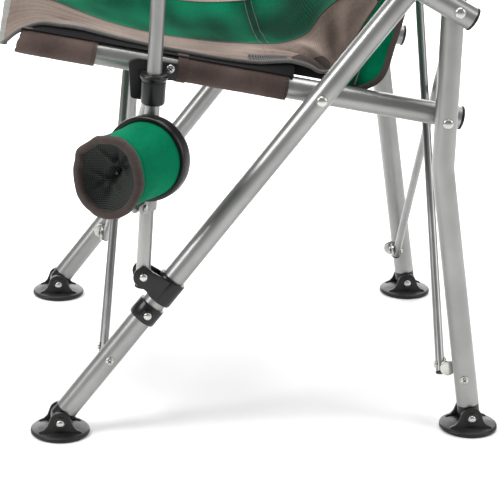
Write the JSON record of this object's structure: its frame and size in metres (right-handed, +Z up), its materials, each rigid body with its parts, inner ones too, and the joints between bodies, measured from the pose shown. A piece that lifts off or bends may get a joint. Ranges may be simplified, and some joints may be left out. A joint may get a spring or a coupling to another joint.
{
  "type": "folding camp chair",
  "caption": "Folding camp chair: tube frame with cross rods and swivel disc feet, slung fabric seat and back, padded arms and a swing-out cup holder.",
  "frame": {"origin": "centre of the bounding box, on the ground plane under the four feet", "axes": "+Z up from the ground, -Y the way the sitter faces, +X the sitter's left, the side that carries the cup holder"},
  "size_m": [0.6354, 0.6256, 0.9566],
  "materials": {
    "satin_tube": "satin silver tube",
    "zinc_steel": "bright zinc plated steel",
    "black_plastic": "moulded black plastic",
    "seat_fabric": "green woven polyester with taupe side panels",
    "back_fabric": "green woven polyester with taupe side panels",
    "pocket_fabric": "green woven polyester with dark binding and dark mesh",
    "arm_cover": "dark woven cover over foam"
  },
  "bodies": {
    "left_frame": {"front_leg_left": "satin_tube", "front_plug_left": "black_plastic", "back_cap_left": "black_plastic", "stop_collar_left": "black_plastic", "rail_rivet_left": "zinc_steel", "back_panel": "back_fabric"},
    "left_rail": {"seat_rail_left": "satin_tube", "rail_cap_left": "black_plastic", "rail_plate_left": "black_plastic", "rear_rivet_left": "zinc_steel", "seat_panel": "seat_fabric"},
    "left_rear_leg": {"rear_leg_left": "satin_tube", "rear_plug_left": "black_plastic"},
    "left_slider": {"leg_slider_left": "black_plastic"},
    "left_post": {"front_post_left": "satin_tube", "cup_clamp": "black_plastic"},
    "left_sleeve": {"post_sleeve_left": "black_plastic"},
    "left_arm": {"arm_tube_left": "satin_tube", "arm_cap_left": "black_plastic", "arm_pad_left": "arm_cover", "arm_bolt_left": "zinc_steel"},
    "left_front_foot": {"front_foot_left": "black_plastic"},
    "left_rear_foot": {"rear_foot_left": "black_plastic"},
    "left_front_clevis": {"front_clevis_left": "zinc_steel"},
    "left_front_rod": {"front_rod_left": "satin_tube"},
    "left_rear_clevis": {"rear_clevis_left": "zinc_steel"},
    "left_rear_rod": {"rear_rod_left": "satin_tube"},
    "left_front_top_clevis": {"rail_bracket_left": "zinc_steel"},
    "left_rear_top_clevis": {"upright_bracket_left": "zinc_steel"},
    "right_frame": {"front_leg_right": "satin_tube", "front_plug_right": "black_plastic", "back_cap_right": "black_plastic", "stop_collar_right": "black_plastic", "rail_rivet_right": "zinc_steel"},
    "right_rail": {"seat_rail_right": "satin_tube", "rail_cap_right": "black_plastic", "rail_plate_right": "black_plastic", "rear_rivet_right": "zinc_steel"},
    "right_rear_leg": {"rear_leg_right": "satin_tube", "rear_plug_right": "black_plastic"},
    "right_slider": {"leg_slider_right": "black_plastic"},
    "right_post": {"front_post_right": "satin_tube"},
    "right_sleeve": {"post_sleeve_right": "black_plastic"},
    "right_arm": {"arm_tube_right": "satin_tube", "arm_cap_right": "black_plastic", "arm_pad_right": "arm_cover", "arm_bolt_right": "zinc_steel"},
    "right_front_foot": {"front_foot_right": "black_plastic"},
    "right_rear_foot": {"rear_foot_right": "black_plastic"},
    "right_front_clevis": {"front_clevis_right": "zinc_steel"},
    "right_front_rod": {"front_rod_right": "satin_tube"},
    "right_rear_clevis": {"rear_clevis_right": "zinc_steel"},
    "right_rear_rod": {"rear_rod_right": "satin_tube"},
    "right_front_top_clevis": {"rail_bracket_right": "zinc_steel"},
    "right_rear_top_clevis": {"upright_bracket_right": "zinc_steel"},
    "cup": {"cup_ring": "black_plastic", "cup_pocket": "pocket_fabric"}
  },
  "joints": [
    {"name": "left_rail_fold", "type": "hinge", "parent": "left_frame", "child": "left_rail", "pos_m": [0.17325, 0.02477, 0.38617], "axis": [-1, 0, 0], "range_deg": [0, 51]},
    {"name": "left_rear_leg_fold", "type": "hinge", "parent": "left_rail", "child": "left_rear_leg", "pos_m": [0.17325, 0.16265, 0.36186], "axis": [1, 0, 0], "range_deg": [0, 36.64]},
    {"name": "left_slider_slide", "type": "slide", "parent": "left_frame", "child": "left_slider", "axis": [0, 0.6018, 0.7986], "range_m": [0, 0.07457]},
    {"name": "left_post_turn", "type": "hinge", "parent": "left_slider", "child": "left_post", "pos_m": [0.17725, -0.16247, 0.1892], "axis": [-1, 0, 0], "range_deg": [0, 5.79]},
    {"name": "left_sleeve_slide", "type": "slide", "parent": "left_post", "child": "left_sleeve", "axis": [0, 0.0401, 0.9992], "range_m": [0, 0.07991]},
    {"name": "left_arm_turn", "type": "hinge", "parent": "left_post", "child": "left_arm", "pos_m": [0.20025, -0.14597, 0.6], "axis": [-1, 0, 0], "range_deg": [0, 30.25]},
    {"name": "left_front_clevis_turn", "type": "hinge", "parent": "left_frame", "child": "left_front_clevis", "pos_m": [0.17325, -0.1973, 0.09147], "axis": [-1, 0, 0], "range_deg": [0, 7.73]},
    {"name": "left_rear_clevis_turn", "type": "hinge", "parent": "left_rear_leg", "child": "left_rear_clevis", "pos_m": [0.17325, 0.18584, 0.067], "axis": [1, 0, 0], "range_deg": [0, 2.07]},
    {"name": "left_front_rod_turn", "type": "hinge", "parent": "left_front_clevis", "child": "left_front_rod", "pos_m": [0.14725, -0.1973, 0.09147], "axis": [0, 0.991, -0.134], "range_deg": [0, 37.83]},
    {"name": "left_rear_rod_turn", "type": "hinge", "parent": "left_rear_clevis", "child": "left_rear_rod", "pos_m": [0.14725, 0.18584, 0.067], "axis": [0, 1, -0.0001], "range_deg": [0, 25.4]},
    {"name": "left_front_top_clevis_turn", "type": "hinge", "parent": "left_rail", "child": "left_front_top_clevis", "pos_m": [0.12425, -0.15562, 0.3997], "axis": [1, 0, 0], "range_deg": [0, 44.07]},
    {"name": "left_rear_top_clevis_turn", "type": "hinge", "parent": "left_frame", "child": "left_rear_top_clevis", "pos_m": [0.14925, 0.1859, 0.6], "axis": [-1, 0, 0], "range_deg": [0, 13.49]},
    {"name": "left_front_foot_swivel", "type": "hinge", "parent": "left_frame", "child": "left_front_foot", "pos_m": [0.17325, -0.25266, 0.018], "axis": [1, 0, 0], "range_deg": [-25, 25]},
    {"name": "left_rear_foot_swivel", "type": "hinge", "parent": "left_rear_leg", "child": "left_rear_foot", "pos_m": [0.17325, 0.21034, 0.018], "axis": [1, 0, 0], "range_deg": [-25, 25]},
    {"name": "side_close", "type": "slide", "parent": "left_frame", "child": "right_frame", "axis": [1, 0, 0], "range_m": [0, 0.2619], "deforming": ["seat_panel", "back_panel"]},
    {"name": "right_rail_fold", "type": "hinge", "parent": "right_frame", "child": "right_rail", "pos_m": [-0.26475, 0.02477, 0.38617], "axis": [-1, 0, 0], "range_deg": [0, 51.4]},
    {"name": "right_rear_leg_fold", "type": "hinge", "parent": "right_rail", "child": "right_rear_leg", "pos_m": [-0.26475, 0.16265, 0.36186], "axis": [1, 0, 0], "range_deg": [0, 36.64]},
    {"name": "right_slider_slide", "type": "slide", "parent": "right_frame", "child": "right_slider", "axis": [0, 0.6018, 0.7986], "range_m": [0, 0.07457]},
    {"name": "right_post_turn", "type": "hinge", "parent": "right_slider", "child": "right_post", "pos_m": [-0.26875, -0.16247, 0.1892], "axis": [-1, 0, 0], "range_deg": [0, 5.79]},
    {"name": "right_sleeve_slide", "type": "slide", "parent": "right_post", "child": "right_sleeve", "axis": [0, 0.0401, 0.9992], "range_m": [0, 0.07991]},
    {"name": "right_arm_turn", "type": "hinge", "parent": "right_post", "child": "right_arm", "pos_m": [-0.29175, -0.14597, 0.6], "axis": [-1, 0, 0], "range_deg": [0, 30.25]},
    {"name": "right_front_clevis_turn", "type": "hinge", "parent": "right_frame", "child": "right_front_clevis", "pos_m": [-0.26475, -0.1973, 0.09147], "axis": [-1, 0, 0], "range_deg": [0, 7.73]},
    {"name": "right_rear_clevis_turn", "type": "hinge", "parent": "right_rear_leg", "child": "right_rear_clevis", "pos_m": [-0.26475, 0.18584, 0.067], "axis": [1, 0, 0], "range_deg": [0, 2.07]},
    {"name": "right_front_rod_turn", "type": "hinge", "parent": "right_front_clevis", "child": "right_front_rod", "pos_m": [-0.23875, -0.1973, 0.09147], "axis": [0, -0.991, 0.134], "range_deg": [0, 37.83]},
    {"name": "right_rear_rod_turn", "type": "hinge", "parent": "right_rear_clevis", "child": "right_rear_rod", "pos_m": [-0.23875, 0.18584, 0.067], "axis": [0, -1, 0.0001], "range_deg": [0, 25.4]},
    {"name": "right_front_top_clevis_turn", "type": "hinge", "parent": "right_rail", "child": "right_front_top_clevis", "pos_m": [-0.21575, -0.15562, 0.3997], "axis": [1, 0, 0], "range_deg": [0, 44.07]},
    {"name": "right_rear_top_clevis_turn", "type": "hinge", "parent": "right_frame", "child": "right_rear_top_clevis", "pos_m": [-0.24075, 0.1859, 0.6], "axis": [-1, 0, 0], "range_deg": [0, 13.49]},
    {"name": "right_front_foot_swivel", "type": "hinge", "parent": "right_frame", "child": "right_front_foot", "pos_m": [-0.26475, -0.25266, 0.018], "axis": [1, 0, 0], "range_deg": [-25, 25]},
    {"name": "right_rear_foot_swivel", "type": "hinge", "parent": "right_rear_leg", "child": "right_rear_foot", "pos_m": [-0.26475, 0.21034, 0.018], "axis": [1, 0, 0], "range_deg": [-25, 25]},
    {"name": "cup_swing", "type": "hinge", "parent": "left_post", "child": "cup", "pos_m": [0.20425, -0.16116, 0.268], "axis": [0.454, 0.891, 0], "range_deg": [0, 90]}
  ],
  "couplings": [
    {"joint": "left_rear_leg_fold", "follows": "left_rail_fold", "ratio": 0.71058},
    {"joint": "left_slider_slide", "follows": "left_rail_fold", "m_per_rad": 0.082652},
    {"joint": "left_post_turn", "follows": "left_rail_fold", "ratio": 0.10572},
    {"joint": "left_sleeve_slide", "follows": "left_rail_fold", "m_per_rad": 0.088656},
    {"joint": "left_arm_turn", "follows": "left_rail_fold", "ratio": 0.58532},
    {"joint": "left_front_clevis_turn", "follows": "left_rail_fold", "ratio": 0.14372},
    {"joint": "left_rear_clevis_turn", "follows": "left_rail_fold", "ratio": 0.032742},
    {"joint": "left_front_rod_turn", "follows": "left_rail_fold", "ratio": 0.73392},
    {"joint": "left_rear_rod_turn", "follows": "left_rail_fold", "ratio": 0.49011},
    {"joint": "left_front_top_clevis_turn", "follows": "left_rail_fold", "ratio": 0.85628},
    {"joint": "left_rear_top_clevis_turn", "follows": "left_rail_fold", "ratio": 0.25668},
    {"joint": "side_close", "follows": "left_rail_fold", "m_per_rad": 0.29311},
    {"joint": "right_rail_fold", "follows": "left_rail_fold", "ratio": 1},
    {"joint": "right_rear_leg_fold", "follows": "left_rail_fold", "ratio": 0.71058},
    {"joint": "right_slider_slide", "follows": "left_rail_fold", "m_per_rad": 0.082652},
    {"joint": "right_post_turn", "follows": "left_rail_fold", "ratio": 0.10572},
    {"joint": "right_sleeve_slide", "follows": "left_rail_fold", "m_per_rad": 0.088656},
    {"joint": "right_arm_turn", "follows": "left_rail_fold", "ratio": 0.58532},
    {"joint": "right_front_clevis_turn", "follows": "left_rail_fold", "ratio": 0.14372},
    {"joint": "right_rear_clevis_turn", "follows": "left_rail_fold", "ratio": 0.032742},
    {"joint": "right_front_rod_turn", "follows": "left_rail_fold", "ratio": 0.73392},
    {"joint": "right_rear_rod_turn", "follows": "left_rail_fold", "ratio": 0.49011},
    {"joint": "right_front_top_clevis_turn", "follows": "left_rail_fold", "ratio": 0.85628},
    {"joint": "right_rear_top_clevis_turn", "follows": "left_rail_fold", "ratio": 0.25668}
  ]
}
